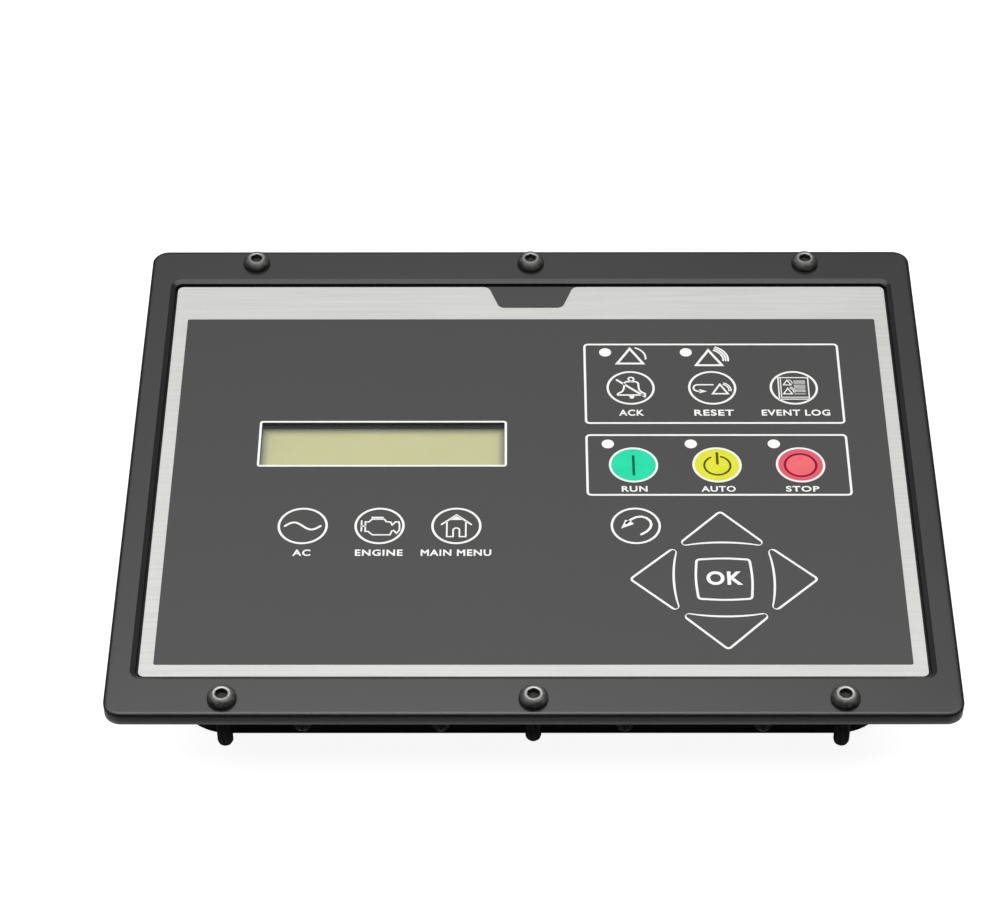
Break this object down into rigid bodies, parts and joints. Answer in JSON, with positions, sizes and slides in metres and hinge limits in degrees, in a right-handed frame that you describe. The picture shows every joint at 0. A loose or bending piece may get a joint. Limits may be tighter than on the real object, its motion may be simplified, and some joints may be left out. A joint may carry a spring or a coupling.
{
  "type": "engine control module",
  "caption": "Panel-mounted engine and generator controller with a bezel frame, membrane keypad, small display and sealed rear housing",
  "frame": {"origin": "centre of the flat back of the rear cover, under the middle of the bezel frame", "axes": "+X across the face to the right as it is read, +Y up the face, +Z out of the face; it lies on its back"},
  "size_m": [0.3106, 0.2504, 0.0483],
  "materials": {
    "battery_steel": "satin",
    "board_green": "satin",
    "chip_black": "matte",
    "circuit_film": "satin",
    "clear_plastic": "polished",
    "contact_brass": "satin",
    "cover_black": "satin",
    "display_frame": "satin",
    "display_glass": "gloss",
    "film_silver": "satin",
    "foam_black": "matte",
    "frame_black": "satin",
    "housing_black": "matte",
    "lamp_white": "satin",
    "layer_black": "matte",
    "light_guide": "satin",
    "print_dark": "satin",
    "print_green": "satin",
    "print_red": "satin",
    "print_white": "satin",
    "print_yellow": "satin",
    "relay_black": "satin",
    "resin_blue": "satin",
    "screw_black": "satin",
    "screw_steel": "satin",
    "seal_rubber": "matte",
    "sleeve_blue": "satin",
    "socket_cream": "matte",
    "vent_white": "matte",
    "winding_copper": "satin"
  },
  "bodies": {
    "root": {"bezel_frame": "frame_black", "panel_screws": "screw_black", "panel_gasket": "foam_black", "flange_screws": "screw_steel", "front_housing": "housing_black", "keypad_film": "film_silver", "field_print": "print_dark", "line_print": "print_white", "run_key_print": "print_green", "auto_key_print": "print_yellow", "stop_key_print": "print_red", "keypad_spacer": "layer_black", "snap_domes": "screw_steel", "keypad_circuit": "circuit_film", "window_pane": "clear_plastic", "lcd_frame": "display_frame", "lcd_glass": "display_glass", "lcd_light_guide": "light_guide", "lcd_board": "board_green", "lcd_screws": "screw_steel", "lcd_connector": "chip_black", "light_pipes": "clear_plastic", "status_lamps": "lamp_white", "main_board": "board_green", "board_screws": "screw_steel", "processor_chip": "chip_black", "logic_chips": "chip_black", "ribbon_socket": "socket_cream", "battery_holder": "chip_black", "clock_battery": "battery_steel", "relays": "relay_black", "capacitors": "sleeve_blue", "current_transformers": "resin_blue", "power_inductor": "winding_copper", "header_shell": "relay_black", "pin_carrier": "layer_black", "header_pins": "contact_brass", "header_seal": "seal_rubber", "jack_insert": "contact_brass", "rear_cover": "cover_black", "cover_gasket": "foam_black", "cover_screws": "screw_black", "vent_membrane": "vent_white"}
  },
  "joints": []
}
